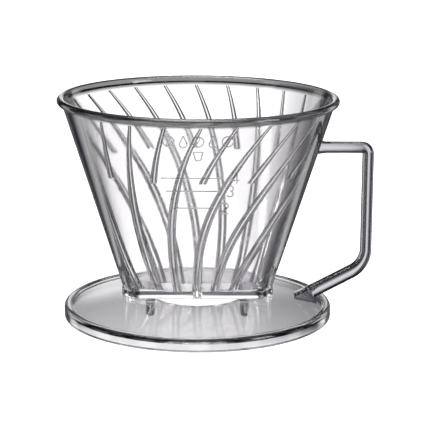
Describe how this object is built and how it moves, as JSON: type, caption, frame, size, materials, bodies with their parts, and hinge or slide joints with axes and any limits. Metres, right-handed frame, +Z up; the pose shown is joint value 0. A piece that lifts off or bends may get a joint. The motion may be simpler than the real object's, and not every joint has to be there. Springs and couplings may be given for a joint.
{
  "type": "pour over dripper",
  "caption": "Clear plastic wedge-shaped coffee dripper with swirling inner ribs, rolled rim, round saucer with viewing windows, and an angular bar handle.",
  "frame": {"origin": "on the cup's axis, level with the face under the saucer's ring that the dripper stands on", "axes": "+Z up along the cup's axis, +X along the oval bottom towards the handle, +Y to the back, away from the raised level lines"},
  "size_m": [0.1309, 0.116, 0.0926],
  "materials": {
    "cup_plastic": "clear, polished moulding",
    "saucer_plastic": "clear, polished moulding",
    "handle_plastic": "clear, polished moulding",
    "raised_marks": "clear, fine satin raised marks"
  },
  "bodies": {
    "root": {"cup_wall": "cup_plastic", "rim_bead": "cup_plastic", "cup_floor": "cup_plastic", "base_collar": "cup_plastic", "long_rib_01": "cup_plastic", "long_rib_02": "cup_plastic", "long_rib_03": "cup_plastic", "long_rib_04": "cup_plastic", "long_rib_05": "cup_plastic", "long_rib_06": "cup_plastic", "long_rib_07": "cup_plastic", "long_rib_08": "cup_plastic", "long_rib_09": "cup_plastic", "long_rib_10": "cup_plastic", "long_rib_11": "cup_plastic", "long_rib_12": "cup_plastic", "short_rib_01": "cup_plastic", "short_rib_02": "cup_plastic", "short_rib_03": "cup_plastic", "short_rib_04": "cup_plastic", "short_rib_05": "cup_plastic", "short_rib_06": "cup_plastic", "short_rib_07": "cup_plastic", "short_rib_08": "cup_plastic", "short_rib_09": "cup_plastic", "short_rib_10": "cup_plastic", "short_rib_11": "cup_plastic", "short_rib_12": "cup_plastic", "saucer_plate": "saucer_plastic", "saucer_ring": "saucer_plastic", "locating_leg_1": "saucer_plastic", "locating_leg_2": "saucer_plastic", "locating_leg_3": "saucer_plastic", "locating_leg_4": "saucer_plastic", "handle_root": "handle_plastic", "handle_bar": "handle_plastic", "handle_foot": "handle_plastic", "level_line_2": "raised_marks", "level_line_3": "raised_marks", "level_line_4": "raised_marks", "level_numeral_2": "raised_marks", "level_numeral_3": "raised_marks", "level_numeral_4": "raised_marks", "bean_mark_1": "raised_marks", "drop_mark_2": "raised_marks", "bean_mark_3": "raised_marks", "drop_mark_4": "raised_marks", "bean_mark_5": "raised_marks", "cup_mark": "raised_marks"}
  },
  "joints": []
}
